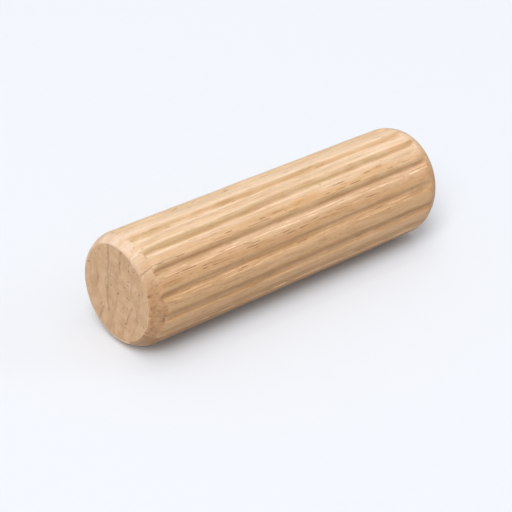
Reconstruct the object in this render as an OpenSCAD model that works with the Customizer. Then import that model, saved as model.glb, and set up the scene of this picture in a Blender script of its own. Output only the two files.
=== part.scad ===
/*
  Fluted dowel pin of solid wood.

  A straight rod is cut to length, its side is pressed with straight flutes and
  both ends are chamfered. The lands between the flutes grip the wall of the
  hole, and the flutes let air and spare glue out as the pin is driven home.

  The pin lies the way it comes to rest on a bench. Its axis is along X, one
  flute faces straight down, and the pin stands on the crests of that flute's
  two edges. The origin is on the bench, under the middle of the pin.
*/

/* [Rod] */
// Diameter across the lands
pin_d = 12; // [9:0.5:20]
// Length over both end faces
pin_l = 40; // [20:1:80]

/* [Flutes] */
// Number of flutes round the rod
flute_count = 16; // [8:1:20]
// Width of a flute, from the crest of one edge to the crest of the other
flute_w = 1.35; // [1.1:0.05:1.8]
// Depth of a flute below the lands
flute_depth = 0.36; // [0.2:0.01:0.5]
// Radius that rounds each edge of a flute
edge_r = 0.45; // [0.2:0.05:0.6]

/* [Ends] */
// Length of each chamfer, along the rod
chamfer_l = 1.3; // [1.1:0.1:2.5]
// How far each chamfer comes in from the lands
chamfer_w = 0.8; // [0.4:0.05:1.2]
// Radius that blends the chamfer into the lands
shoulder_r = 3; // [1:0.5:4]
// Radius that blends the chamfer into the end face
rim_r = 0.4; // [0.1:0.05:0.5]

/* [Hidden] */
$fn = 96;
// A rounding meets the surface beside it at this small angle, which leaves a
// clean line between the two
meet_a = 6;
// What cuts reaches this many times as far out as the edge that it cuts
overcut = 1.5;

pin_r = pin_d / 2;
face_r = pin_r - chamfer_w;
half_l = pin_l / 2;
shoulder_x = half_l - chamfer_l;
chamfer_a = atan(chamfer_w / chamfer_l);

// A flute seen along the rod, at the top: the centres of its two edge
// roundings lie flute_w apart, at this height above the axis
edge_y = sqrt(pow(pin_r, 2) + pow(edge_r, 2) - 2 * pin_r * edge_r * cos(meet_a) - pow(flute_w / 2, 2));
crest_y = edge_y + edge_r;
// The bottom of the flute is an arc that runs into both edge roundings
bottom_y = pin_r - flute_depth;
edge_rise = edge_y - bottom_y;
bottom_r = (pow(flute_w / 2, 2) + pow(edge_rise, 2) - pow(edge_r, 2))
  / (2 * (edge_rise + edge_r * cos(meet_a)));

function along(p, a, d) = p + d * [cos(a), sin(a)];

// What a rounding of radius r takes off a corner, where an outline that runs
// anticlockwise turns left from direction a_in to direction a_out
module corner_waste(corner, a_in, a_out, r) {
  inset = r * cos(meet_a);
  setback = inset * tan((a_out - a_in) / 2);
  start = along(corner, a_in, -setback);
  end = along(corner, a_out, setback);
  centre = along(start, a_in + 90, inset);
  difference() {
    polygon([for (p = [centre, start, corner, end]) centre + overcut * (p - centre)]);
    translate(centre) circle(r = r);
  }
}

// Half of the rod's outline: x is the distance from the axis, y runs along it
module half_outline() {
  difference() {
    polygon([[0, 0], [pin_r, 0], [pin_r, shoulder_x], [face_r, half_l], [0, half_l]]);
    corner_waste([pin_r, shoulder_x], 90, 90 + chamfer_a, shoulder_r);
    corner_waste([face_r, half_l], 90 + chamfer_a, 180, rim_r);
  }
}

// The rod with both ends chamfered and no flutes, turned about Z
module blank() {
  rotate_extrude() {
    half_outline();
    mirror([0, 1]) half_outline();
  }
}

// What one flute takes out of the rod's round section, at the top
module flute() {
  right_edge = [flute_w / 2, edge_y];
  left_edge = [-flute_w / 2, edge_y];
  bottom_centre = [0, bottom_y + bottom_r];
  difference() {
    polygon([bottom_centre, right_edge, overcut * right_edge, overcut * left_edge, left_edge]);
    translate(right_edge) circle(r = edge_r);
    translate(left_edge) circle(r = edge_r);
  }
  translate(bottom_centre) circle(r = bottom_r);
}

// The whole pin: the first flute faces the bench
module dowel_pin() {
  color("burlywood") translate([0, 0, crest_y]) rotate([0, 90, 0]) difference() {
    blank();
    linear_extrude(overcut * pin_l, center = true) {
      for (i = [0 : flute_count - 1]) {
        rotate(i * 360 / flute_count - 90) flute();
      }
    }
  }
}

dowel_pin();
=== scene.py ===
# %% [markdown]
# # A fluted dowel pin of beech
# A dowel pin joins two boards: it is glued into a hole in each. It is turned from straight-grained
# beech, its flutes let air and glue escape from the hole, and a chamfer on each end helps it in.
#
# The pin could be modelled on its own and fitted to the drawn part later. Here the drawn part is
# loaded first, as a fixed frame, and every place is worked out from its box, so that the pin on
# view can't grow away from the drawn one. Lengths are in metres and the pin lies along X.

# %% The frame
import bpy
import bmesh
import math
import numpy as np
from mathutils import Matrix, Vector, noise


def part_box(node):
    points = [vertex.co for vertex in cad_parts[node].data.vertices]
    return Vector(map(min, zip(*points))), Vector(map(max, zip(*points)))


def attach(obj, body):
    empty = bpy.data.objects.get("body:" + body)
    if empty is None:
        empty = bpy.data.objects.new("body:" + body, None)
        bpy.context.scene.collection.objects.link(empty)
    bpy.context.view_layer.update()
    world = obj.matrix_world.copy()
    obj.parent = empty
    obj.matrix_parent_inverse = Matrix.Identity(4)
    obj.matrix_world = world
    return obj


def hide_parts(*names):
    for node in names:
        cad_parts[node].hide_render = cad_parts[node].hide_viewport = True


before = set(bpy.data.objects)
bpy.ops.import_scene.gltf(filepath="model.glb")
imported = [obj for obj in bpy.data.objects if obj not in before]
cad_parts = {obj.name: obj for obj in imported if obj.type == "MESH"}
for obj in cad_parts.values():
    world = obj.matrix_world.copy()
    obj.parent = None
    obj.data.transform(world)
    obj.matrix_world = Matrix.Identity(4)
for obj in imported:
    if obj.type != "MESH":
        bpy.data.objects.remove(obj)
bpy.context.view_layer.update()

MM = 0.001
low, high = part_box("dowel_pin")
middle = (low + high) / 2
axis_z = middle.z
pin_l = high.x - low.x
drawn_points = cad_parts["dowel_pin"].data.vertices
pin_r = max(math.hypot(v.co.y, v.co.z - axis_z) for v in drawn_points)
print(f"pin: {pin_l / MM:.2f} mm long, {2 * pin_r / MM:.2f} mm across the lands")

# %% [markdown]
# The box gives the length and the radius. The sizes below are the ones that a box can't give: the
# section of a flute, and the chamfer with its two roundings. They could be measured off the drawn
# mesh, but named values are easier to read and to change.

# %% Sizes of the flutes and the ends
flute_count = 16
flute_w = 1.35 * MM
flute_depth = 0.36 * MM
edge_r = 0.45 * MM
chamfer_l = 1.3 * MM
chamfer_w = 0.8 * MM
shoulder_r = 3.0 * MM
rim_r = 0.4 * MM
pitch = 2 * math.pi / flute_count
print(f"one flute every {math.degrees(pitch)} degrees")

# %% [markdown]
# The camera looks down on the pin from beyond its left end, with a long lens from well away, so
# that the far end looks only a little smaller than the near one. It could be turned by hand until
# it looks right. Three angles and a distance say the same thing in a way that can be changed.

# %% The camera
turn, rise, roll = (math.radians(a) for a in (-45.3, 33.0, 6.1))
distance = 184.5 * MM
aim = middle + Vector((-1.7, -0.32, -2.2)) * MM
level = math.cos(rise)
towards_camera = Vector((math.sin(turn) * level, -math.cos(turn) * level, math.sin(rise)))
facing = towards_camera.to_track_quat("Z", "Y").to_matrix() @ Matrix.Rotation(roll, 3, "Z")

camera_data = bpy.data.cameras.new("camera")
camera_data.lens = 124.6
camera_data.clip_start = 0.01
camera = bpy.data.objects.new("camera", camera_data)
bpy.context.scene.collection.objects.link(camera)
camera.matrix_world = Matrix.Translation(aim + towards_camera * distance) @ facing.to_4x4()
bpy.context.scene.camera = camera
print(f"camera: {distance / MM:.0f} mm from the pin")

# %% [markdown]
# The pin lies on a sheet of pale, slightly blue paper. A plane that reaches far past the view does
# for it. It is fully rough and has no shine, so that it takes the pin's soft shadow and nothing
# else.


# %% The paper
def new_material(name):
    """A new material, with its node tree and its one shader."""
    material = bpy.data.materials.new(name)
    material.use_nodes = True
    return material, material.node_tree, material.node_tree.nodes["Principled BSDF"]


floor_w = 3.0
paper_white = (0.714, 0.737, 0.778)
bpy.ops.object.select_all(action="DESELECT")
bpy.ops.mesh.primitive_plane_add(size=floor_w, location=(0, 0, 0))
floor = bpy.context.object
floor.name = "floor"
floor_material, _, floor_shader = new_material("pale_paper")
floor_shader.inputs["Base Color"].default_value = (*paper_white, 1)
floor_shader.inputs["Roughness"].default_value = 1.0
floor_shader.inputs["Specular IOR Level"].default_value = 0.0
floor.data.materials.append(floor_material)
print("paper:", floor_w, "m square")

# %% [markdown]
# A studio tent lights the pin: an even white glow from everywhere, and large soft lamps. The two
# strongest hang behind the viewer's left shoulder, so their shadow falls behind the pin, and the
# glow leaves a narrow soft one at its foot. Three weaker lamps high above it and one low on the
# right keep the other sides from going dark. One bright lamp would be simpler, but its shadows
# would be hard and the flutes would look cut with a knife.

# %% The light
glow = 0.46
world = bpy.data.worlds.new("studio")
world.use_nodes = True
bpy.context.scene.world = world
world.node_tree.nodes["Background"].inputs["Color"].default_value = (1, 1, 1, 1)
world.node_tree.nodes["Background"].inputs["Strength"].default_value = glow

lamp_w = 1.6
lamp_distance = 4.0
# name, direction round Z from +X in degrees, height in degrees, watts
lamps = (
    ("key_high", 210, 60, 52),
    ("key_low", 210, 45, 75),
    ("top_left", 180, 75, 16),
    ("top_right", 0, 75, 10),
    ("top_back", 90, 75, 6.5),
    ("side", 330, 30, 12),
)
for name, direction, height, power in lamps:
    round_z, up = math.radians(direction), math.radians(height)
    out = Vector((math.cos(round_z) * math.cos(up), math.sin(round_z) * math.cos(up), math.sin(up)))
    lamp = bpy.data.lights.new(name, "AREA")
    lamp.size = lamp_w
    lamp.energy = power
    holder = bpy.data.objects.new(name, lamp)
    bpy.context.scene.collection.objects.link(holder)
    holder.location = middle + out * lamp_distance
    holder.rotation_euler = out.to_track_quat("Z", "Y").to_euler()
bpy.context.scene.view_settings.view_transform = "Standard"
print(len(lamps), "lamps,", sum(lamp[3] for lamp in lamps), "W")

# %% [markdown]
# A chamfer cutter leaves a cone on each end of the rod, and tumbling rounds where the cone meets
# the lands and the end face. A bevel modifier could round them, but not by two different radii
# that fade into a cone. So the radius is worked out for any distance from the end: the end face's
# small rim arc, the cone, the wide shoulder arc, and then the full radius.

# %% The outline of the rod
chamfer_a = math.atan2(chamfer_w, chamfer_l)


def end_radius(s):
    """Radius of the chamfered rod at a distance s from its end face."""
    shoulder_t = shoulder_r * math.tan(chamfer_a / 2)
    if s >= chamfer_l + shoulder_t:
        return pin_r
    if s >= chamfer_l - shoulder_t * math.cos(chamfer_a):
        before = chamfer_l + shoulder_t - s
        return pin_r - shoulder_r + math.sqrt(shoulder_r ** 2 - before ** 2)
    rim_t = rim_r * math.tan((math.pi / 2 - chamfer_a) / 2)
    face_r = pin_r - chamfer_w
    if s >= rim_t * math.cos(chamfer_a):
        return face_r + s * math.tan(chamfer_a)
    return face_r - rim_t + math.sqrt(max(rim_r ** 2 - (rim_r - s) ** 2, 0))


print(f"end face {2 * end_radius(0) / MM:.2f} mm across, chamfer {math.degrees(chamfer_a):.1f} degrees")

# %% [markdown]
# A flute is a shallow trough pressed in by a roller: a round bottom that swings over into a
# rounded edge on both sides, with no sharp corner. Two arcs that touch make this section. The
# bottom's radius follows from the width, the depth and the radius of the edges.

# %% The section of a flute
edge_y = math.sqrt((pin_r - edge_r) ** 2 - (flute_w / 2) ** 2)
bottom_y = pin_r - flute_depth
edge_rise = edge_y - bottom_y
bottom_r = ((flute_w / 2) ** 2 + edge_rise ** 2 - edge_r ** 2) / (2 * (edge_rise + edge_r))
meeting_u = flute_w / 2 * bottom_r / (bottom_r + edge_r)
rounds_to_settle = 6


def flute_radius(angle):
    """Radius of the fluted rod at an angle from the middle of a flute."""
    radius = pin_r
    for _ in range(rounds_to_settle):
        u = abs(radius * math.sin(angle))
        if u >= flute_w / 2:
            return pin_r
        if u < meeting_u:
            v = bottom_y + bottom_r - math.sqrt(bottom_r ** 2 - u ** 2)
        else:
            v = edge_y + math.sqrt(edge_r ** 2 - (flute_w / 2 - u) ** 2)
        radius = min(math.hypot(u, v), pin_r)
    return radius


print(f"flute: {flute_depth / MM:.2f} mm deep, bottom radius {bottom_r / MM:.2f} mm")

# %% [markdown]
# The rod is drawn out of one ring of points, as it would be on a lathe: the ring is extruded a
# step along the axis and resized to the outline's radius there. The steps are close together at
# both ends, where the flutes run out, and one long step spans the middle for now. A cylinder with
# loop cuts would need a window to work in, and spinning the outline round would leave poles.

# %% The rod is drawn out of a ring
steps_in_pitch = 20
points_round = flute_count * steps_in_pitch
rim_steps = [0.0, 0.03, 0.08, 0.15]
run_out_steps = [0.25 + 0.1 * i for i in range(34)]
stations = [s * MM for s in rim_steps + run_out_steps]
places = [(low.x + s, end_radius(s)) for s in stations]
places += [(high.x - s, end_radius(s)) for s in reversed(stations)]

bpy.ops.object.select_all(action="DESELECT")
bpy.ops.mesh.primitive_circle_add(vertices=points_round, radius=end_radius(0), fill_type="NOTHING",
    location=(low.x, 0, axis_z), rotation=(0, math.pi / 2, 0))
pin = bpy.context.object
pin.name = "beech_pin"
bpy.ops.object.transform_apply(location=True, rotation=True, scale=True)
bpy.ops.object.mode_set(mode="EDIT")
bpy.ops.mesh.select_all(action="SELECT")
for (x0, r0), (x1, r1) in zip(places, places[1:]):
    bpy.ops.mesh.extrude_edges_move(TRANSFORM_OT_translate={"value": (x1 - x0, 0, 0)})
    bpy.ops.transform.resize(value=(1, r1 / r0, r1 / r0), center_override=(x1, 0, axis_z))
print(len(places), "rings of", points_round, "points")

# %% [markdown]
# Rollers press all 16 flutes alike, and a trough is the same on both its sides and at both ends of
# the rod. So the points at the same distance from a flute's middle and from an end move together.
# They could be picked by hand, ring by ring, but their place sorts them just as well.

# %% Points that are pressed together
hardly = 1e-7
same_ring_digits = 7


def edit_mesh():
    """The pin's mesh as it stands in edit mode."""
    mesh = bmesh.from_edit_mesh(pin.data)
    mesh.verts.ensure_lookup_table()
    return mesh


together = {}
for v in edit_mesh().verts:
    step = round(math.atan2(-v.co.y, v.co.z - axis_z) / (pitch / steps_in_pitch))
    offset = min(step % steps_in_pitch, -step % steps_in_pitch)
    s = round(min(v.co.x - low.x, high.x - v.co.x), same_ring_digits)
    if flute_radius(offset * pitch / steps_in_pitch) < pin_r - hardly:
        together.setdefault((offset, s), []).append(v.index)
print(len(together), "sets of points")

# %% [markdown]
# The sets are selected one after another, and each is pulled towards the axis with one resize. The
# roller lifts off before the end of the rod, so the trough rises and runs out on the chamfer.
# Cutting the flutes with a boolean would be exact too, but it would leave long thin triangles that
# shade badly.

# %% The flutes are pressed in
lift_from = 0.95 * MM
lift_l = 0.45 * MM


def lift(s):
    """How far a flute is raised at a distance s from the end face."""
    t = min(max((s - lift_from) / lift_l, 0), 1)
    return flute_depth * (1 - t * t * (3 - 2 * t))


moves = 0
for (offset, s), members in sorted(together.items()):
    drawn_r = end_radius(s)
    pressed_r = min(drawn_r, flute_radius(offset * pitch / steps_in_pitch) + lift(s))
    if pressed_r > drawn_r - hardly:
        continue
    bpy.ops.mesh.select_all(action="DESELECT")
    edited = edit_mesh()
    for i in members:
        edited.verts[i].select = True
    edited.select_flush(True)
    k = pressed_r / drawn_r
    bpy.ops.transform.resize(value=(1, k, k), center_override=(0, 0, axis_z))
    moves += 1
print("flutes pressed with", moves, "moves")

# %% [markdown]
# The two open ends are closed with a grid of squares. A fan of triangles to a middle point would
# close them too, but a grid gives the end grain enough points for its rings and chips. Then the
# long middle is divided, so that the wood can be uneven along its whole length.

# %% The ends are closed and the middle divided
body_cuts = 165
on_plane = 1e-6
for x_end in (low.x, high.x):
    bpy.ops.mesh.select_all(action="DESELECT")
    edited = edit_mesh()
    for e in edited.edges:
        e.select = all(abs(v.co.x - x_end) < on_plane for v in e.verts)
    bmesh.update_edit_mesh(pin.data)
    bpy.ops.mesh.fill_grid(span=points_round // 4)
bpy.ops.mesh.select_all(action="DESELECT")
edited = edit_mesh()
for e in edited.edges:
    e.select = abs(e.verts[0].co.x - e.verts[1].co.x) > pin_l / 2
bmesh.update_edit_mesh(pin.data)
bpy.ops.mesh.subdivide(number_cuts=body_cuts)
bpy.ops.mesh.select_all(action="SELECT")
bpy.ops.mesh.normals_make_consistent(inside=False)
bpy.ops.object.mode_set(mode="OBJECT")
bpy.ops.object.shade_smooth()
print("points", len(pin.data.vertices), "triangles", 2 * len(pin.data.polygons))

# %% [markdown]
# So far the pin is as exact as its drawing. A real one is not: the rollers wander, the cutter
# tears fibres and the saw leaves marks. This could be sculpted by hand, but moving the points with
# a few rules gives the same pin on every run. For that, each point's place is read in a turner's
# terms: how far along, how far from the axis, and at what angle from the top, counted towards the
# front.

# %% Every point's place on the pin
mesh = pin.data
count = len(mesh.vertices)
flat = np.zeros(count * 3)
mesh.vertices.foreach_get("co", flat)
at = flat.reshape(-1, 3)
x = at[:, 0].copy()
y, z = at[:, 1].copy(), at[:, 2] - axis_z
radius = np.hypot(y, z)
angle = np.degrees(np.arctan2(-y, z))
from_near, from_far = x - low.x, high.x - x
s_end = np.minimum(from_near, from_far)
in_face = radius < end_radius(0) - on_plane
near_face = (from_near < on_plane) & in_face
far_face = (from_far < on_plane) & in_face
side = ~(near_face | far_face)
along = from_near / MM
print("on the near face", int(near_face.sum()), "on the side", int(side.sum()))

# %% [markdown]
# What the tools did to the wood is uneven along the grain, but it never jumps. So the rules are
# made of three things: noise that is stretched along the pin, an even swing from 0 to 1, and a
# band with soft limits. Displace modifiers could move the points too, but each rule would need a
# texture and a vertex group of its own.

# %% Noise along the grain and soft limits
noise_gain = 1.6


def grain(scale_along, scale_across, seed):
    """Noise of about -1 to 1 that is stretched along the grain; scales in mm."""
    stretch = np.array([scale_along, scale_across, scale_across]) * MM
    spots = np.stack([x, y, z], 1) / stretch + seed
    return np.array([noise.noise(Vector(p)) for p in spots]) * noise_gain


def smooth(value, start, stop):
    """0 before start, 1 after stop, and an even swing between them."""
    t = np.clip((value - start) / (stop - start), 0, 1)
    return t * t * (3 - 2 * t)


def band(value, start, stop, soft):
    """1 between start and stop, falling to 0 within soft on both sides."""
    return smooth(value, start - soft, start) * (1 - smooth(value, stop, stop + soft))


print("a band from 2 to 4, read from 0 to 6:", band(np.arange(7), 2, 4, 2))

# %% [markdown]
# The chamfer cutter didn't sit quite square to the rod, so the shoulders are fuller on one side of
# each end. A tilted cutter could be modelled, but it is enough to blend towards a lighter chamfer
# there, one that is shorter and shallower by the shares below. The end faces swell with their
# rims, so that the mesh stays closed and even.

# %% Fuller shoulders
far_lighter = 0.95 * band(angle, -75, 12, 85)
near_lighter = 0.4 * band(angle, -30, -10, 50)
lighter = np.where(from_far < from_near, far_lighter, near_lighter)
shorter, shallower = 0.4, 0.5
table_points, table_step = 150, 0.02
table_s = np.arange(table_points) * table_step * MM
table_r = np.array([end_radius(s) for s in table_s])
full = np.interp(s_end / (1 - shorter * lighter), table_s, table_r)
full = pin_r - (pin_r - full) * (1 - shallower * lighter)
swell = full / np.interp(s_end, table_s, table_r)
swell = np.where(side, swell, 1 + (swell - 1) * radius / end_radius(0))
y, z, radius = y * swell, z * swell, radius * swell
outline = full
print(f"shoulders fuller by up to {(swell.max() - 1) * pin_r / MM:.2f} mm")

# %% [markdown]
# The flutes don't run quite straight: the rod crept round while it passed the rollers. Each one
# has its own drift, in degrees at the near end, the middle and the far end, and the land between
# two flutes shares the drift of both. The flutes are counted from the top towards the front.
# Turning each flute as a separate piece would tear the lands.

# %% The flutes drift round the rod
drift = {
    0: (4.6, 0.4, -0.2), 1: (2.7, -0.8, -2.4), 2: (-0.7, -0.8, -1.9),
    3: (1.5, 0.0, -1.0), 4: (2.4, 3.2, 1.7), 5: (0.0, 0.5, 2.0),
}
no_drift = (0, 0, 0)
drift_at = (0, pin_l / 2 / MM, pin_l / MM)
pitch_deg = 360 / flute_count
shift = np.zeros(count)
for k in range(min(drift) - 1, max(drift) + 1):
    t = angle / pitch_deg - k
    here = (t >= 0) & (t < 1) & side
    left, right = (np.interp(along, drift_at, drift.get(i, no_drift)) for i in (k, k + 1))
    shift = np.where(here, left * (1 - t) + right * t, shift)
angle_drawn = angle.copy()
flute = np.round(angle / pitch_deg).astype(int)
in_flute = angle - flute * pitch_deg
angle = angle + shift * smooth(s_end, 0, 1.0 * MM)
print(f"drift from {shift.min():.1f} to {shift.max():.1f} degrees")

# %% [markdown]
# Some flutes were pressed deeper than others, and a flute's depth changes along it as the wood
# gives more or less. The surface itself is faintly wavy along the grain. Both come from noise that
# is stretched along the pin. The wood stands back by a hair, so that nothing grows past the
# drawing. The depths of the waves are in millimetres.


# %% Uneven depth and a wavy surface
def per_flute(values, others):
    """One value for every point, by the number of the flute that it is nearest to."""
    half = flute_count // 2
    return np.array([values.get(k, others) for k in range(-half, half + 1)])[flute + half]


press = per_flute({0: 1.25, 1: 1.15, 2: 1.2, 3: 0.95, 4: 0.95, 5: 0.75}, 1.0)
give = 0.25
hollow = np.where(side, outline - radius, 0)
deepened = hollow * press * (1 + give * grain(7, 2.2, 3.0))
long_wave, short_wave = 0.012, 0.007
most, set_back = 0.02, 0.04
uneven = long_wave * grain(6, 1.5, 11.0) + short_wave * grain(2.5, 0.3, 23.0)
uneven = np.clip(uneven, -most, most) - set_back
uneven = uneven * smooth(s_end, 0, 0.3 * MM) * MM
new_radius = np.where(side, outline - deepened + uneven, radius)
print(f"deepest flute {deepened.max() / MM:.2f} mm")

# %% [markdown]
# On the front of the near chamfer the cutter tore fibres out instead of slicing them. The torn
# patch has a ragged edge that reaches further in some places, and a rough floor a few hundredths
# of a millimetre down. A texture alone could darken it, but only real relief catches the light.

# %% The torn side of the near chamfer
reach_at = (46, 54, 65, 79, 91, 102, 115)
reach_mm = (0.7, 1.1, 1.1, 1.5, 1.6, 1.25, 1.0)
ragged = grain(0.5, 0.3, 31.0)
reach = np.interp(angle, reach_at, reach_mm) + 0.2 * ragged
edge_soft = np.where(angle < 80, 18, 10)
torn = band(angle, 64, 112, edge_soft)
torn *= 1 - smooth(along, reach - 0.15, reach + 0.12)
torn *= np.where(side, smooth(along, 0.0, 0.12), 0)
torn = np.clip(torn * (0.95 + 0.25 * ragged), 0, 1)
tear_mm, tear_rough = 0.06, 0.035
new_radius -= torn * np.clip(tear_mm + tear_rough * grain(0.4, 0.25, 37.0), 0, 1) * MM
turn_rad = np.radians(angle)
y, z = -new_radius * np.sin(turn_rad), new_radius * np.cos(turn_rad)
print("torn points", int((torn > 0.3).sum()))

# %% [markdown]
# The saw left both end faces a little rough, and it broke small chips out of the rim next to the
# torn patch. The chips are shallow, so the face's points are only pushed in along the axis, and
# the rim is pulled in a little by notches that follow the grain.

# %% Rough end faces and a chipped rim
saw_mm, chip_mm, notch_mm = 0.012, 0.05, 0.08
rim_mm = 5.15
rim_band = smooth(radius, 4.75 * MM, rim_mm * MM)
chip = rim_band * band(angle, 62, 125, 10) * smooth(grain(0.5, 0.35, 41.0), -0.25, 0.15)
near_pull = saw_mm * (1 + grain(0.6, 0.45, 43.0)) + chip_mm * chip
x = x + np.where(near_face | (along < 0.12), np.clip(near_pull, 0, 1), 0) * MM
scallop = band(angle, 60, 128, 8) * np.clip(grain(9, 0.7, 61.0) + 0.1, 0, 1) * notch_mm
scallop *= np.where(side, 1 - smooth(along, 0.1, 0.7), smooth(radius, 4.2 * MM, rim_mm * MM))


def pull_in(depth):
    """The share by which a point's y and z shrink when it sinks by its own depth in mm."""
    return 1 - depth * MM / np.maximum(np.hypot(y, z), on_plane)


notch = pull_in(scallop)
y, z = y * notch, z * notch
far_pull = saw_mm * (1 + grain(0.6, 0.45, 47.0))
x = x - np.where(far_face, np.clip(far_pull, 0, 1), 0) * MM
print(f"deepest notch {scallop.max():.2f} mm")

# %% [markdown]
# Single bites at the rim are larger than the chips. Each has an angle, a half width in degrees, a
# half depth in millimetres and a strength. Their middles lie just inside the rim. They are given one
# by one, because a few well placed bites say more about a torn rim than many random ones.

# %% Bites out of the near rim
bites = (
    (64.9, 2.6, 0.26, 1.0), (73.5, 1.6, 0.2, 0.25), (87.6, 2.6, 0.2, 0.4),
    (98.5, 4.0, 0.14, 0.2), (113.5, 2.2, 0.34, 0.9), (131.2, 2.6, 0.2, 0.3),
)
bite_mm, bite_inset, face_mm = 0.10, 0.05, 5.2
bite = np.zeros(count)
from_rim = np.where(side, along, face_mm - radius / MM) - bite_inset
for a, wide, deep, strength in bites:
    away = np.hypot((angle - a) / wide, from_rim / deep)
    bite = np.maximum(bite, strength * (1 - smooth(away, 0.2, 1.0)))
x += np.where(near_face | (along < 0.5), bite * bite_mm, 0) * MM
bitten = pull_in(bite * bite_mm)
y, z = y * bitten, z * bitten
print(len(bites), "bites")

# %% [markdown]
# A crack runs from the near face up over the chamfer and on along a flute, and shorter ones lie
# near it. A crack is drawn as a broken line on the unrolled side, in millimetres along and degrees
# round. The degrees become millimetres on about the pin's radius, and everything close to the line
# sinks a little. Cutting real gaps would open the mesh.


# %% Cracks
def from_line(u, v, points):
    """Distance of every place (u, v) from a broken line, but never more than 1."""
    best = np.ones(u.shape)
    for (u0, v0), (u1, v1) in zip(points, points[1:]):
        du, dv = u1 - u0, v1 - v0
        t = np.clip(((u - u0) * du + (v - v0) * dv) / (du * du + dv * dv), 0, 1)
        best = np.minimum(best, np.hypot(u - u0 - t * du, v - v0 - t * dv))
    return best


cracks = (
    (((0.05, 40.0), (0.6, 38.6), (1.3, 36.6)), 1.0),
    (((1.3, 36.6), (2.6, 36.0), (4.2, 36.8)), 0.6),
    (((0.1, 21.0), (0.75, 21.0), (1.05, 18.5)), 0.5),
    (((0.75, 12.5), (0.95, 10.5)), 0.4),
    (((0.45, 14.0), (0.6, 12.0)), 0.3),
    (((0.6, -7.0), (0.85, -9.0)), 0.3),
    (((0.5, 52.0), (0.8, 49.0)), 0.5),
    (((0.9, 56.0), (1.4, 54.0)), 0.6),
    (((0.3, 58.0), (0.55, 56.0)), 0.4),
    (((1.2, 49.5), (1.9, 50.5)), 0.4),
)
unrolled_r = 6
crack_mm = 0.06
crack_from, crack_to = 0.02, 0.09
crack = np.zeros(count)
for points, strength in cracks:
    line = [(s, math.radians(a) * unrolled_r) for s, a in points]
    gap = from_line(along, turn_rad * unrolled_r, line)
    crack = np.maximum(crack, np.where(side, strength * (1 - smooth(gap, crack_from, crack_to)), 0))
print(len(cracks), "cracks")

# %% [markdown]
# The growth rings of the tree cross the end face as dark arcs. The beech's colour will have them as
# even circles round a far middle, but the ones that can be seen clearly are broken and bent. So
# these are drawn as lines on the face, in millimetres across and up, and blurred with noise.

# %% Growth rings on the near face
ring_lines = (
    (((1.8, 5.0), (1.65, 4.0), (1.5, 2.6), (1.55, 1.6)), 0.9),
    (((1.5, 1.5), (1.35, 0.2), (1.4, -1.2), (1.0, -2.4)), 0.9),
    (((-0.2, 5.0), (-0.1, 3.8), (-0.3, 2.4)), 0.9),
    (((3.0, 0.9), (3.1, -0.3), (3.0, -1.4)), 0.7),
    (((2.0, -2.8), (2.3, -4.0)), 0.7),
    (((-1.5, -2.6), (-1.3, -3.6), (-1.15, -4.7)), 0.7),
    (((-2.4, -0.4), (-1.9, -1.5), (-1.75, -2.6)), 0.6),
    (((-3.1, -0.2), (-3.3, -1.5)), 0.6),
    (((-2.1, 3.9), (-2.15, 2.0)), 0.4),
    (((4.3, 1.4), (4.2, -0.6)), 0.4),
)
ring_soft, bend_mm = 0.26, 0.06
rings = np.zeros(count)
for points, strength in ring_lines:
    gap = from_line(y / MM + bend_mm * grain(9, 0.8, 63.0), z / MM, points)
    rings = np.maximum(rings, np.where(near_face, strength * (1 - smooth(gap, 0.0, ring_soft)), 0))
rings *= np.clip(0.85 + 0.5 * grain(9, 0.7, 67.0), 0, 1)
print(len(ring_lines), "rings")

# %% [markdown]
# Last, the cracks sink into the side, and all the moved points go back into the mesh in one go.

# %% The moved points go back
sink = np.where(side, crack / np.maximum(radius, on_plane) * crack_mm * MM, 0)
y, z = y - sink * y, z - sink * z
at[:, 0], at[:, 1], at[:, 2] = x, y, z + axis_z
mesh.vertices.foreach_set("co", at.ravel())
mesh.update()
print(f"lowest point {at[:, 2].min() / MM:.3f} mm above the paper")

# %% [markdown]
# The beech will need to know more about each place than where it is: whether it is torn, in a
# flute's shaded wall, on the chamfer or on an end, and whether its grain is still coarse or was
# worn smooth, as on the top. Masks painted as images would do, but they would need files. Values
# kept on the mesh's own points do the same and follow the shape exactly.


# %% Masks that are kept on the mesh
def paint(name, values):
    """Keeps one value for every point on the mesh."""
    layer = mesh.attributes.new(name, "FLOAT", "POINT")
    layer.data.foreach_set("value", np.asarray(values, dtype=np.float32))


body = smooth(s_end, 0.95 * MM, 1.15 * MM) * side
inner = smooth(s_end, 0.3 * MM, 2.0 * MM) * side
worn_smooth = 0.5 * (1 - smooth(angle, 22, 46))
under_from = 118.8 + along * 0.13
bite_shade = 0.75
paint("torn", torn)
# the bites join the cracks' mask: painted shade in the hollows of the bites
paint("crack", np.maximum(crack, bite_shade * bite))
paint("rings", rings)
paint("chip", np.where(near_face, chip, 0))
paint("end_grain", near_face | far_face)
paint("near_end", near_face)
paint("body", body)
paint("inner", inner)
paint("coarse", inner * (1 - worn_smooth))
# painted shade on the underside, where it turns down to the paper
paint("under", band(angle, under_from, 150, 4) * side)
paint("in_flute", in_flute)
paint("round_pin", angle_drawn)
print(len(mesh.attributes), "layers on the mesh")

# %% [markdown]
# Wood is never the same all along: a spot is paler, a streak is browner. These are soft oblong
# patches on the unrolled side, and some of them are painted light. The pale patches along the lower
# wall of flute 2, between 47 and 51 degrees, are painted light where light falls on it, and the
# three long bands at 40, 87 and 107 degrees paint a warm shade into the upper walls of flutes.
# Noise gives such patches too, but at random places. In every table of patches the columns are:
# millimetres from the near end, degrees from the top, half length in millimetres, half width in
# degrees, and strength.


# %% Soft patches
soft_from, soft_to = 0.55, 1.1


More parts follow.
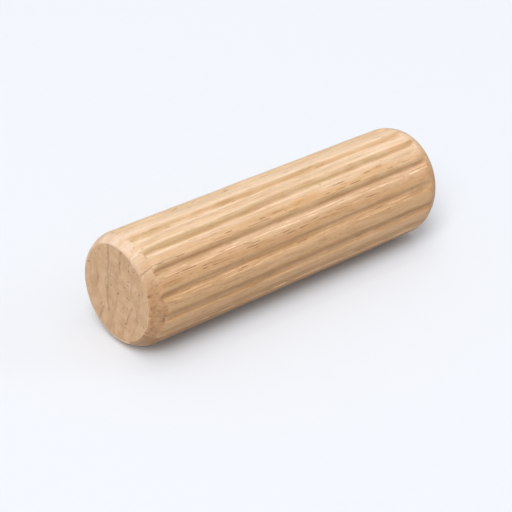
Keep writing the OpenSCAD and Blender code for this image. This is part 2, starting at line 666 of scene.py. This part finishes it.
def patches(table):
    """How strongly the patches of a table cover every point."""
    total = np.zeros(count)
    for s, a, half_mm, half_deg, strength in table:
        away = np.hypot((along - s) / half_mm, (angle - a) / half_deg)
        total = np.maximum(total, strength * (1 - smooth(away, soft_from, soft_to)))
    return np.where(side, total, 0)


# stains; the long bands at 40, 87 and 107 degrees are painted warm shade in the upper flute walls
stains_and_shade_bands = (
    (21.8, 30.5, 2.6, 2.6, 1.0), (19.0, 34.5, 3.5, 1.8, 0.9), (32.0, 29.6, 2.4, 1.6, 1.0),
    (27.0, 36.0, 4.0, 2.0, 0.6), (20.0, 34.5, 24.0, 3.2, 0.55), (20.0, 87.0, 24.0, 3.5, 0.4),
    (20.0, 107.0, 24.0, 4.0, 0.4), (20.0, 40.0, 24.0, 2.2, 0.2), (1.7, 0.0, 0.9, 2.4, 0.6),
    (36.5, 15.0, 1.5, 4.0, 0.7), (38.7, 50.0, 0.7, 9.0, 0.5), (38.6, 15.0, 0.8, 3.0, 0.5),
    (37.9, 93.0, 1.5, 2.0, 0.6), (36.8, 112.5, 2.2, 4.5, 1.1),
)
# pale spots; those between 47 and 51 degrees are painted light on the lower wall of flute 2
pale_spots_and_lit_wall = (
    (20.5, 24.0, 2.8, 3.0, 1.0), (33.0, 24.0, 3.5, 2.6, 1.0), (0.4, -8.0, 0.7, 34.0, 1.5),
    (8.0, 27.0, 9.0, 2.8, 1.8), (2.4, -5.0, 2.0, 5.0, 1.5), (19.0, 48.0, 20.0, 2.8, 2.2),
    (2.4, 48.0, 1.8, 2.2, 2.6), (36.3, 48.0, 1.7, 2.6, 3.3), (36.5, 36.5, 1.8, 5.0, 1.7),
    (2.2, 5.5, 1.3, 6.0, 2.0), (6.0, 90.0, 10.0, 2.2, 1.4), (15.0, 66.0, 4.0, 1.6, 1.2),
    (33.5, 12.5, 5.0, 2.4, 1.6), (20.0, -6.0, 22.0, 2.6, 1.2), (36.5, 119.0, 4.0, 4.0, 1.2),
    (20.0, 50.5, 24.0, 6.5, 1.0), (31.0, 101.0, 9.0, 3.2, 1.6), (14.0, 70.0, 14.0, 2.5, 0.2),
    (20.0, 0.5, 20.0, 3.0, 1.4), (25.0, 47.0, 4.0, 3.0, 3.3), (2.2, 34.0, 1.4, 2.5, 1.2),
)
paint("stain_and_shade_warmth", patches(stains_and_shade_bands))
paint("pale_and_lit", patches(pale_spots_and_lit_wall))
print(len(stains_and_shade_bands), "stains,", len(pale_spots_and_lit_wall), "pale spots")

# %% [markdown]
# The upper wall of each flute, which faces away from the light, is painted darker, some flutes more
# than others: this is painted shade, because soft light alone leaves the flutes too faint. More
# painted shade deepens some flutes near the ends and the underside, and a few lands and chamfers get
# darker patches. The wall is found by its angle from the middle of its flute, in degrees, and noise
# along the grain breaks it up.

# %% Painted shade on the flute walls, and darker patches
# painted shade: how dark each flute's upper wall is painted
wall_shade_strength = per_flute({0: 0.95, 1: 1.1, 2: 0.95, 3: 0.2, 4: 0.7, 5: 0.7}, 0.6)
wall_from = np.where(flute == 0, -4.8, -6.8)
wall_to, wall_soft = -2.2, 1.4
wall = smooth(in_flute, wall_from - wall_soft, wall_from) * (1 - smooth(in_flute, wall_to, 0.0))
wall *= wall_shade_strength * np.clip(1 + 0.45 * grain(2.0, 0.5, 51.0), 0.3, 1.5)
# darker patches, most of them more painted shade in the flutes near the ends and underneath
darker_patches = (
    (18.0, 9.3, 18.0, 3.2, 0.5), (6.6, 20.4, 6.8, 4.2, 1.6), (4.6, 0.0, 2.6, 2.2, 1.3),
    (2.4, 13.0, 1.4, 3.5, 0.5), (6.0, 40.8, 6.5, 3.0, 1.1), (9.5, 96.0, 10.0, 2.2, 0.7),
    (15.0, 69.0, 16.0, 1.9, 0.7), (2.6, 58.5, 1.8, 3.4, 0.9), (3.0, 122.0, 6.0, 3.0, 0.4),
    (2.4, 111.5, 2.6, 3.0, 0.5), (18.0, 33.0, 7.0, 1.8, 0.45), (36.5, 27.0, 1.8, 2.6, 0.6),
    (21.0, 21.0, 3.0, 2.0, 0.5), (2.2, 69.0, 1.5, 2.2, 1.2), (36.5, 69.0, 1.6, 2.2, 0.9),
    (7.5, 0.5, 4.0, 2.2, 0.9), (2.3, 45.6, 1.3, 2.6, 1.1), (5.6, 45.2, 3.4, 2.0, 0.7),
)
chamfer_darker_patches = (
    (0.6, 28.0, 0.9, 9.0, 0.5), (0.5, 6.0, 0.8, 16.0, 0.18), (0.6, 48.0, 0.7, 10.0, 0.5),
    (39.6, 40.0, 0.9, 30.0, 0.2),
)
side_shade = np.maximum(wall, patches(darker_patches)) * body
paint("shade", np.maximum(side_shade, patches(chamfer_darker_patches)))
print(f"shade up to {side_shade.max():.2f}")

# %% [markdown]
# Along the lower edge of a flute the roller lifted fibres, and between the flutes the cutter opened
# short dark vessels. Both are far finer than the mesh, so only where they may show is kept on the
# points. The beech draws the fibres and the dashes themselves.

# %% Where fibres are lifted and vessels are open
frayed = per_flute({0: 0.1, 1: 0.25, 2: 1.1, 3: 0.8, 4: 0.5, 5: 1.0}, 0.5)
vessels = (
    (22.0, 9.3, 3.0, 1.6, 0.4), (16.5, 11.2, 2.5, 1.8, 0.5), (6.0, 11.0, 4.0, 1.6, 0.4),
    (28.0, 8.0, 2.0, 2.0, 0.4), (14.5, 34.6, 7.0, 2.4, 1.2), (29.0, 29.5, 5.0, 1.6, 0.9),
    (3.5, 36.8, 3.0, 1.6, 1.0), (9.0, 37.4, 3.0, 1.6, 1.0), (27.0, 35.0, 5.0, 2.2, 1.1),
    (34.5, 34.0, 3.0, 1.8, 0.9), (20.5, 37.0, 3.0, 1.4, 0.8), (5.0, 53.0, 3.0, 2.4, 1.2),
    (7.5, 56.5, 3.5, 2.0, 1.1), (12.0, 55.2, 3.0, 2.2, 1.0), (18.6, 55.6, 2.4, 2.6, 1.3),
    (15.0, 53.0, 2.5, 1.6, 0.9), (28.5, 53.5, 3.0, 1.8, 1.1), (23.5, 54.5, 3.4, 1.8, 1.1),
    (31.5, 55.0, 1.6, 1.4, 0.8), (35.5, 52.5, 2.4, 1.2, 0.7), (16.0, 70.4, 2.0, 1.6, 1.1),
    (20.0, 69.4, 2.6, 1.5, 1.1), (12.0, 71.5, 2.0, 1.4, 0.8), (30.0, 69.0, 2.4, 1.5, 0.9),
    (5.0, 71.0, 2.0, 1.4, 0.7), (8.5, 79.5, 5.0, 1.6, 0.6), (26.0, 81.0, 3.0, 1.4, 0.4),
    (24.0, 0.6, 7.0, 1.2, 0.8), (11.5, 1.0, 3.0, 1.2, 0.8), (9.0, 66.0, 3.0, 1.2, 0.5),
    (27.5, 57.0, 2.0, 1.2, 0.9), (2.2, 54.0, 1.2, 2.0, 0.9),
)
paint("fray", frayed * band(in_flute, 1.6, 6.0, 0.7) * body)
paint("dashes", patches(vessels))
print(len(vessels), "groups of open vessels")

# %% [markdown]
# Now the beech itself. The wood is built as layers of colour, each laid over the last through a
# mask, as a painter would do it. In Blender's shader editor every step is a node that is placed and
# wired by hand. The helpers below place a node and wire it in one line, so that a layer reads like
# a sentence.

# %% Nodes and sums
beech, tree, shader = new_material("beech")


def node(kind, values=None, links=None, **settings):
    """Adds a node. Values set its sockets, links feed them, and settings are its own options."""
    made = tree.nodes.new("ShaderNode" + kind)
    for name, value in settings.items():
        setattr(made, name, value)
    for name, value in (values or {}).items():
        made.inputs[name].default_value = value
    for name, socket in (links or {}).items():
        tree.links.new(socket, made.inputs[name])
    return made


def feed(socket, value):
    """Gives a socket a number, a colour or another node's output. None leaves it as it is."""
    if isinstance(value, (int, float)):
        socket.default_value = value
    elif isinstance(value, tuple):
        socket.default_value = (*value, 1)
    elif value is not None:
        tree.links.new(value, socket)


def math_of(operation, a, b=None, clamp=False):
    """The result of an operation on one or two values."""
    made = node("Math", operation=operation, use_clamp=clamp)
    feed(made.inputs[0], a)
    feed(made.inputs[1], b)
    return made.outputs[0]


def times(a, b):
    return math_of("MULTIPLY", a, b)


def plus(a, b, clamp=False):
    return math_of("ADD", a, b, clamp)


def vector_of(operation, a, b=None, constant=None):
    """The result of a vector operation. The second vector is a node's output or a constant."""
    made = node("VectorMath", {1: constant} if constant else None, {0: a}, operation=operation)
    feed(made.inputs[1], b)
    return made.outputs["Value" if operation == "LENGTH" else "Vector"]


print("beech starts with", len(tree.nodes), "nodes")

# %% [markdown]
# Grain is one pattern that goes through the whole piece of wood, so its noises read the pin's own
# coordinates, in millimetres, and show on the ends too. Unwrapping the pin would let an image
# follow the surface, but the grain would then bend with it. Noise is stretched by reading it with
# few features along the pin and many across, and a ramp turns it into a soft mask.

# %% Patterns in millimetres
mm_size = 1 / MM
centre = {"Location": (0, 0, -axis_z / MM), "Scale": (mm_size, mm_size, mm_size)}
mm = node("Mapping", centre, {"Vector": node("TexCoord").outputs["Object"]}).outputs[0]


def scaled(vector, along, across, shift=(0, 0, 0)):
    """Coordinates for a pattern with so many features per mm along and across the grain."""
    values = {"Location": shift, "Scale": (along, across, across)}
    return node("Mapping", values, {"Vector": vector}).outputs[0]


def cloud(vector, detail=2.0, rough=0.5):
    """Soft noise that lies mostly between 0.3 and 0.7."""
    values = {"Scale": 1.0, "Detail": detail, "Roughness": rough}
    return node("TexNoise", values, {"Vector": vector}).outputs["Fac"]


def ramp(value, start, stop, low_value=0.0, high_value=1.0):
    """An even swing from one value to another while the input goes from start to stop."""
    values = {"From Min": start, "From Max": stop, "To Min": low_value, "To Max": high_value}
    return node("MapRange", values, {"Value": value}, interpolation_type="SMOOTHSTEP").outputs[0]


print(f"the patterns are centred {axis_z / MM:.2f} mm above the paper, on the pin's axis")

# %% [markdown]
# A layer of colour is laid over another one in two ways. A blend covers it, as a dark vessel does.
# A tint multiplies it, as a stain does, and lets the grain below show through. Where a layer is
# bound to a place on the pin, its mask is one of the values kept on the mesh.


# %% Layers of colour
def blend(factor, first, second, mode="MIX"):
    """Lays the second colour over the first, as far as the factor says."""
    made = node("Mix", data_type="RGBA", blend_type=mode)
    for number, value in ((0, factor), (6, first), (7, second)):
        feed(made.inputs[number], value)
    return made.outputs[2]


def tinted(colour, factor, tint):
    """A colour that is multiplied by a tint, as far as the factor says."""
    return blend(factor, colour, tint, "MULTIPLY")


def painted(name):
    """A value that was kept on the mesh's points."""
    return node("Attribute", attribute_name=name).outputs["Fac"]


print("the beech can read", len(mesh.attributes), "layers of the mesh")

# %% [markdown]
# Beech fibres run along the pin but wander a little, and each year's growth adds a ring with a
# darker late part. The tree's middle lay well outside this pin, so the rings cross it as wide
# arcs. A wave texture gives rings as well, but the fraction of a distance lets the late wood rise
# slowly and end sharply, as it does in the tree.

# %% Fibres and growth rings
noise_middle = (0.5, 0.5, 0.5)
wander_mm = (0.0, 1.1, 1.1)
slow_noise = node("TexNoise", {"Scale": 1.0, "Detail": 1.0}, {"Vector": scaled(mm, 0.07, 0.2)})
wander = vector_of("SUBTRACT", slow_noise.outputs["Color"], constant=noise_middle)
fibre = vector_of("ADD", mm, vector_of("MULTIPLY", wander, constant=wander_mm))

pith = (0.0, 26.5, 1.5)
only_across = (0, 1, 1)
ring_w = 1.66
ring_start = 0.91
from_pith = vector_of("SUBTRACT", fibre, constant=pith)
from_pith = vector_of("LENGTH", vector_of("MULTIPLY", from_pith, constant=only_across))
ring = math_of("FRACT", plus(times(from_pith, 1 / ring_w), ring_start))
late_wood = times(ramp(ring, 0.45, 0.93), ramp(ring, 0.97, 1.0, 1.0, 0.0))
print(f"a growth ring every {ring_w} mm")

# %% [markdown]
# Four noises of different sizes make the ground colour: broad bands, streaks and hairs that are
# stretched along the grain, and a mottle that hardly is. A scanned board could be laid on instead,
# but it would smear on the chamfers. The noises are added up to one tone, which goes from cream to
# tan, because in wood the same thing makes it darker and redder. The late wood of the rings lies
# over it, and a faint tint shifts it between yellow and pink.

# %% The ground colour
cream, tan = (0.865, 0.65, 0.472), (0.70, 0.49, 0.323)
late_brown = (0.66, 0.40, 0.20)
yellower, pinker = (0.985, 1.0, 0.965), (1.01, 0.99, 0.995)
broad = cloud(scaled(fibre, 0.05, 0.75), 3.0)
streak = cloud(scaled(fibre, 0.1, 2.2, (7, 0, 0)), 3.0, 0.6)
hair = cloud(scaled(fibre, 0.3, 6.0, (3, 1, 0)), 3.0, 0.65)
mottle = cloud(scaled(mm, 1.6, 2.4, (1, 8, 3)), 3.0, 0.6)
fine = math_of("MAXIMUM", painted("coarse"), 0.2)

tone = plus(times(ramp(broad, 0.3, 0.7), 0.3), times(ramp(streak, 0.3, 0.7), 0.3))
tone = plus(tone, times(ramp(hair, 0.3, 0.7), 0.2))
tone = plus(tone, times(times(ramp(mottle, 0.3, 0.7), 0.2), fine), clamp=True)
wood = blend(tone, cream, tan)
wood = blend(times(late_wood, 0.35), wood, late_brown)

tint = cloud(scaled(fibre, 0.25, 2.2, (2, 9, 4)), 2.0)
wood = tinted(wood, ramp(tint, 0.34, 0.66), yellower)
wood = tinted(wood, ramp(tint, 0.50, 0.30), pinker)
print("ground colour:", len(tree.nodes), "nodes so far")

# %% [markdown]
# Over the ground come the wider changes. The wood is painted darker and warmer towards the front:
# this is painted shade down the front side. It has the pale spots and stains that were kept on the
# mesh, some of them painted light and warm shade, and it is darker on the chamfers, where end grain
# begins to show, and a little darker where it was worn smooth. Underneath it is painted much darker,
# as painted shade where it turns down to the paper. Then come the painted shade on the flute walls
# and its darker patches, and the hairs and specks where the grain is still coarse. One mixed colour
# could be worked out for each place, but as separate tints they can be changed one by one.

# %% Wider changes of colour
front_shade = (0.695, 0.58, 0.45)
pale_and_lit_tint, stain_and_shade_tint = (1.2, 1.3, 1.48), (0.96, 0.83, 0.62)
chamfered, worn, underside = (0.84, 0.81, 0.81), (0.92, 0.915, 0.91), (0.66, 0.62, 0.58)
shade_and_patch_brown = (0.712, 0.648, 0.51)
hair_dark, speck_dark = (0.89, 0.86, 0.81), (0.905, 0.88, 0.835)

fibre_y = node("SeparateXYZ", links={"Vector": fibre}).outputs["Y"]
speck = cloud(scaled(fibre, 2.0, 7.0, (5, 5, 5)), 2.0, 0.6)
on_chamfer = math_of("SUBTRACT", 1.0, painted("inner"))
smoothed = math_of("SUBTRACT", painted("inner"), painted("coarse"))
# painted shade: darker and warmer towards the front
wood = tinted(wood, ramp(fibre_y, -1.2, -5.6), front_shade)
# pale spots, and painted light on the lower wall of flute 2
wood = tinted(wood, times(painted("pale_and_lit"), 0.3), pale_and_lit_tint)
# stains, and painted warm shade in the flute walls
wood = tinted(wood, times(painted("stain_and_shade_warmth"), 0.8), stain_and_shade_tint)
wood = tinted(wood, on_chamfer, chamfered)
wood = tinted(wood, smoothed, worn)
# painted shade on the underside, where it turns down to the paper
wood = tinted(wood, painted("under"), underside)
# painted shade on the upper flute walls, with the darker patches
wood = tinted(wood, times(painted("shade"), 0.7), shade_and_patch_brown)
wood = tinted(wood, times(ramp(hair, 0.32, 0.68), fine), hair_dark)
wood = tinted(wood, times(ramp(speck, 0.52, 0.72), fine), speck_dark)
print("wider changes:", len(tree.nodes), "nodes so far")

# %% [markdown]
# Vessels and rays that were cut open show as short dark dashes, in lanes a few degrees apart. A
# lane is a thin stripe in the angle round the pin, which wanders with a slow noise. A second noise,
# stretched along the grain, breaks it into dashes, and the patches kept on the mesh say where they
# show. A few more are strewn over the whole side. Single dashes could be cut into the mesh, but
# there are hundreds, and each is about as thin as a hair.

# %% Open vessels
lane_w = 2.6
vessel_brown = (0.25, 0.125, 0.05)
lane = times(painted("round_pin"), 1 / lane_w)
lane = plus(lane, cloud(scaled(mm, 0.12, 0.3, (4, 4, 4)), 0.0))
lane = math_of("ABSOLUTE", math_of("SUBTRACT", math_of("FRACT", lane), 0.5))
lane = ramp(lane, 0.08, 0.24, 1.0, 0.0)
broken = ramp(cloud(scaled(fibre, 0.55, 3.2, (0, 2, 6)), 1.0), 0.49, 0.55)
vessel = times(times(broken, lane), painted("dashes"))
strewn = times(ramp(cloud(scaled(fibre, 0.6, 4.5, (9, 2, 1)), 1.0), 0.66, 0.71), 0.35)
vessel = plus(vessel, times(strewn, painted("body")), clamp=True)
wood = blend(times(vessel, 0.95), wood, vessel_brown)
print(f"vessels in lanes {lane_w} degrees apart")

# %% [markdown]
# The lifted fibres are strands that are made like the lanes. Their backs are painted paler, as
# painted highlight where they catch the light, and the valleys between them a little darker, as
# painted shade. Hair particles could stand for them, but at this size only their colour can be seen.

# %% Lifted fibres
strand_w = 2.8
strand_highlight, strand_valley_shade = (1.32, 1.41, 1.54), (0.90, 0.87, 0.82)
strand = times(painted("in_flute"), 1 / strand_w)
strand = plus(strand, times(cloud(scaled(mm, 0.13, 0.3, (6, 1, 4)), 1.0), 1.6))
strand = math_of("ABSOLUTE", math_of("SUBTRACT", math_of("FRACT", strand), 0.5))
split = cloud(scaled(fibre, 0.5, 4.0, (11, 3, 5)), 1.0)
shaded_valley = times(ramp(strand, 0.28, 0.42), times(painted("fray"), ramp(split, 0.47, 0.55)))
lit_back = times(ramp(strand, 0.06, 0.24, 1.0, 0.0), painted("fray"))
lit_back = times(lit_back, ramp(split, 0.46, 0.55))
# painted highlight on the strands' backs and painted shade in their valleys
wood = tinted(wood, lit_back, strand_highlight)
wood = tinted(wood, shaded_valley, strand_valley_shade)
print(f"strands {strand_w} degrees apart")

# %% [markdown]
# On the end faces the fibres are seen end on, so the patterns are as tall as they are wide: soft
# blotches, a finer speckle, the late wood of the rings and small round pores. Only the rays that
# were cut are short dashes. The side's colour would do for a far view, but its hairs would show
# as spots. All these patterns are the same all along the pin, as the fibres themselves are.

# %% End grain
end_pale, end_tan, speckle_tan = (0.585, 0.39, 0.236), (0.488, 0.306, 0.166), (0.50, 0.31, 0.185)
late_end, ring_brown = (0.42, 0.26, 0.15), (0.38, 0.22, 0.115)
pore_brown, ray_brown = (0.34, 0.18, 0.09), (0.30, 0.15, 0.07)
warmer = (1.012, 0.985, 0.955)
blotch = cloud(scaled(mm, 0.0, 0.75, (0, 3, 9)), 3.0)
end = blend(ramp(blotch, 0.3, 0.7), end_pale, end_tan)
speckle = cloud(scaled(mm, 0.0, 4.0, (0, 5, 2)), 3.0, 0.6)
end = blend(times(ramp(speckle, 0.35, 0.65), 0.35), end, speckle_tan)
ring_part = times(late_wood, ramp(cloud(scaled(mm, 0.0, 0.9, (0, 7, 1)), 2.0), 0.38, 0.62))
end = blend(times(ring_part, 0.6), end, late_end)
end = blend(times(painted("rings"), 0.95), end, ring_brown)
pores = node("TexVoronoi", {"Scale": 1.0}, {"Vector": scaled(mm, 0.0, 2.6)}).outputs["Distance"]
end = blend(ramp(pores, 0.08, 0.20, 0.35, 0.0), end, pore_brown)
leaning = {"Scale": (0, 5.0, 1.5), "Rotation": (0.35, 0, 0)}
rays = ramp(cloud(node("Mapping", leaning, {"Vector": mm}).outputs[0], 1.0), 0.62, 0.68)
rays = times(rays, ramp(cloud(scaled(mm, 0.0, 0.5, (0, 1, 4)), 1.0), 0.44, 0.54))
end = blend(times(rays, 0.4), end, ray_brown)
flush = ramp(cloud(scaled(mm, 0.0, 0.45, (0, 2, 2)), 2.0), 0.4, 0.6)
end = tinted(end, flush, warmer)
print("end grain:", len(tree.nodes), "nodes so far")

# %% [markdown]
# The saw left some thirty dark scratches on the near face, each about a tenth of a millimetre wide.
# That is finer than the mesh, so each is a Mapping node that moves, turns and stretches the face
# until the scratch is a round spot, whose depth along the pin doesn't matter. The distance from its
# middle is its mask. Noise would give scratches too, but they would look like fur. The columns are
# where a scratch starts and stops, in millimetres across and up, and its strength. The chips of the
# rim are fresh and pale.

# %% Scratches on the near face
scratch_w = 0.11
scratch_end = 0.09
any_depth = 1000
scratch_brown, chip_pale = (0.24, 0.12, 0.055), (0.78, 0.56, 0.37)
strokes = (
    ((1.5, 1.65), (0.6, 1.45), 0.45), ((0.5, 1.4), (-0.3, 1.0), 0.45),
    ((-1.35, 0.5), (-2.1, 0.22), 0.8), ((1.85, 3.95), (1.7, 3.75), 0.8),
    ((3.75, 2.85), (3.5, 2.65), 0.8), ((3.2, 2.65), (2.6, 2.5), 0.4),
    ((-1.15, 1.25), (-0.95, 1.45), 0.9), ((-1.7, 1.75), (-1.5, 1.95), 0.7),
    ((-1.75, 2.4), (-1.45, 2.25), 0.7), ((-1.65, 3.3), (-1.5, 3.65), 0.8),
    ((-2.5, 3.95), (-2.2, 3.7), 0.7), ((-1.45, 4.0), (-1.6, 4.4), 0.5),
    ((-0.05, 0.0), (-0.35, 0.27), 1.0), ((1.0, 0.4), (0.8, 0.7), 0.6),
    ((4.8, 1.2), (4.35, 1.45), 0.8), ((-0.3, 5.15), (-0.25, 4.6), 0.9),
    ((2.05, -2.5), (1.75, -2.75), 0.7), ((1.3, -2.2), (1.05, -2.7), 0.7),
    ((2.3, -3.4), (2.2, -3.95), 0.8), ((-1.8, -2.5), (-1.5, -2.75), 1.0),
    ((-1.5, -3.05), (-1.75, -3.15), 0.8), ((-4.95, -1.8), (-4.35, -2.05), 1.0),
    ((-4.95, 2.4), (-4.65, 2.2), 0.9), ((4.1, -0.9), (3.85, -0.75), 0.5),
    ((1.45, 0.5), (1.4, -0.5), 0.5), ((3.0, 0.7), (2.95, -0.3), 0.5),
    ((-2.9, -1.3), (-3.4, -1.45), 0.6), ((-1.9, -1.7), (-1.75, -2.3), 0.5),
    ((-3.1, 1.4), (-3.5, 2.0), 0.4), ((0.3, -3.6), (0.2, -4.1), 0.4),
    ((-0.2, 3.9), (-0.15, 3.5), 0.8), ((1.55, 2.9), (1.5, 2.3), 0.5),
    ((4.2, 1.1), (4.0, 0.4), 0.4),
)
scratches = 0.0
for (y0, z0), (y1, z1), strength in strokes:
    spot = {
        "Location": (0, (y0 + y1) / 2, (z0 + z1) / 2),
        "Rotation": (math.atan2(z1 - z0, y1 - y0), 0, 0),
        "Scale": (any_depth, scratch_end + math.hypot(y1 - y0, z1 - z0) / 2, scratch_w),
    }
    spot = node("Mapping", spot, {"Vector": mm}, vector_type="TEXTURE").outputs[0]
    scratch = ramp(vector_of("LENGTH", spot), 0.35, 1.0, strength, 0.0)
    scratches = math_of("MAXIMUM", scratches, scratch)
scratches = times(scratches, painted("near_end"))
end = blend(times(scratches, 0.85), end, scratch_brown)
end = blend(times(painted("chip"), 0.75), end, chip_pale)
print(len(strokes), "scratches")

# %% [markdown]
# The two kinds of surface are joined: side grain where the face is the side, end grain on the ends.
# Torn wood shows its darker, redder inside, a crack is dark brown, and the bites in the rim are
# painted dark brown too, as painted shade in their hollows. Two materials could be given to the
# faces instead, but the cracks and the torn patch would need theirs blended anyway. Bare beech is
# dull, with only a faint sheen, so it is rough and reflects a little less than usual.

# %% Side grain, end grain and torn wood together
torn_red, torn_dark, crack_and_bite_shade_brown = (0.445, 0.25, 0.12), (0.305, 0.162, 0.078), (0.20, 0.10, 0.05)
on_end = painted("end_grain")
torn_tone = cloud(scaled(mm, 1.5, 3.2), 3.0, 0.6)
torn_wood = blend(ramp(torn_tone, 0.35, 0.65), torn_red, torn_dark)
colour = blend(on_end, wood, end)
colour = blend(times(painted("torn"), 0.9), colour, torn_wood)
# cracks, and painted shade in the bites
colour = blend(times(painted("crack"), 0.75), colour, crack_and_bite_shade_brown)
feed(shader.inputs["Base Color"], colour)
feed(shader.inputs["Roughness"], 0.62)
feed(shader.inputs["Specular IOR Level"], 0.35)
print("colour:", len(tree.nodes), "nodes")

# %% [markdown]
# Last comes the feel of the surface: the same hairs, streaks and mottle that colour the wood also
# raise it by a few hundredths of a millimetre, and torn spots and cut rays lie a little deeper.
# Moving the mesh would need millions of points for this, so it is left to a bump.

# %% The feel of the surface
bump_mm = 0.045
height = plus(times(hair, 0.8), times(streak, 0.6))
height = plus(height, times(mottle, 0.3))
height = times(height, math_of("MAXIMUM", fine, on_end))
height = math_of("SUBTRACT", height, times(painted("torn"), times(torn_tone, 0.5)))
height = math_of("SUBTRACT", height, times(times(rays, on_end), 0.6))
bump = node("Bump", {"Strength": 0.8, "Distance": bump_mm * MM}, {"Height": height})
feed(shader.inputs["Normal"], bump.outputs["Normal"])
mesh.materials.append(beech)
print("beech finished with", len(tree.nodes), "nodes")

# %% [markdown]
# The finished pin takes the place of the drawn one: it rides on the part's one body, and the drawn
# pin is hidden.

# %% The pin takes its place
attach(pin, "root")
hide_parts("dowel_pin")
